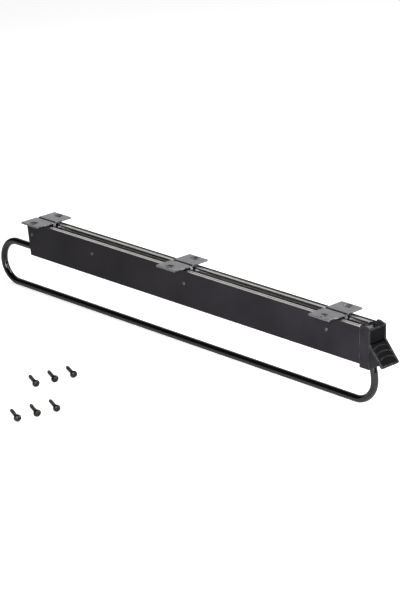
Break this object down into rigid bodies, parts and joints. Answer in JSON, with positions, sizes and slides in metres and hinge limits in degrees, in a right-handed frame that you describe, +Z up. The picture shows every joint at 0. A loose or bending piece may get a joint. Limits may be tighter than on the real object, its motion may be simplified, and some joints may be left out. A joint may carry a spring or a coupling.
{
  "type": "pull-out clothes rail",
  "caption": "Pull-out clothes rail that screws under a shelf: a channel on ball slides carries a looped hanging bar and an end cap with a sloping pull.",
  "frame": {"origin": "centre of the outer four mounting holes, on the top face of the brackets, which lies against the shelf", "axes": "+X is the pull-out direction, towards the handle; +Z points up into the shelf; -Y is the near side in the picture"},
  "size_m": [0.6006, 0.3009, 0.0919],
  "materials": {
    "bracket_steel": "satin black powder coat on 2 mm sheet steel",
    "zinc_rivets": "zinc-plated steel",
    "zinc_slides": "bright zinc-plated rolled steel",
    "cage_steel": "zinc-plated thin steel",
    "ball_steel": "polished steel balls",
    "buffer_rubber": "grey moulded rubber",
    "casing_steel": "matt black powder coat on 1 mm sheet steel",
    "black_rivets": "rivets coated with the casing",
    "bar_lacquer": "high-gloss black lacquer on steel rod",
    "saddle_plastic": "black moulded nylon",
    "cap_plastic": "fine-textured black moulded ABS",
    "black_screws": "black oxide on steel"
  },
  "bodies": {
    "shelf_side": {"bracket_rear_near": "bracket_steel", "bracket_rear_far": "bracket_steel", "bracket_middle_near": "bracket_steel", "bracket_middle_far": "bracket_steel", "bracket_front_near": "bracket_steel", "bracket_front_far": "bracket_steel", "bracket_rivets": "zinc_rivets", "fixed_rail_near": "zinc_slides", "fixed_rail_far": "zinc_slides", "fixing_screws": "black_screws"},
    "pull_out": {"casing": "casing_steel", "casing_rivets_near": "black_rivets", "casing_rivets_far": "black_rivets", "sliding_rail_near": "zinc_slides", "sliding_rail_far": "zinc_slides", "end_buffer_near": "buffer_rubber", "end_buffer_far": "buffer_rubber", "hanging_bar": "bar_lacquer", "bar_saddle": "saddle_plastic", "saddle_screws": "black_screws", "bar_pin": "zinc_rivets", "front_cap": "cap_plastic", "cap_screws": "black_screws", "bar_end_screw": "zinc_rivets"},
    "cage_near": {"ball_cage_near": "cage_steel", "balls_near": "ball_steel"},
    "cage_far": {"ball_cage_far": "cage_steel", "balls_far": "ball_steel"}
  },
  "joints": [
    {"name": "pull_out_slide", "type": "slide", "parent": "shelf_side", "child": "pull_out", "axis": [1, 0, 0], "range_m": [0, 0.375]},
    {"name": "cage_near_slide", "type": "slide", "parent": "shelf_side", "child": "cage_near", "axis": [1, 0, 0], "range_m": [0, 0.1875]},
    {"name": "cage_far_slide", "type": "slide", "parent": "shelf_side", "child": "cage_far", "axis": [1, 0, 0], "range_m": [0, 0.1875]}
  ],
  "couplings": [
    {"joint": "cage_near_slide", "follows": "pull_out_slide", "ratio": 0.5},
    {"joint": "cage_far_slide", "follows": "pull_out_slide", "ratio": 0.5}
  ]
}
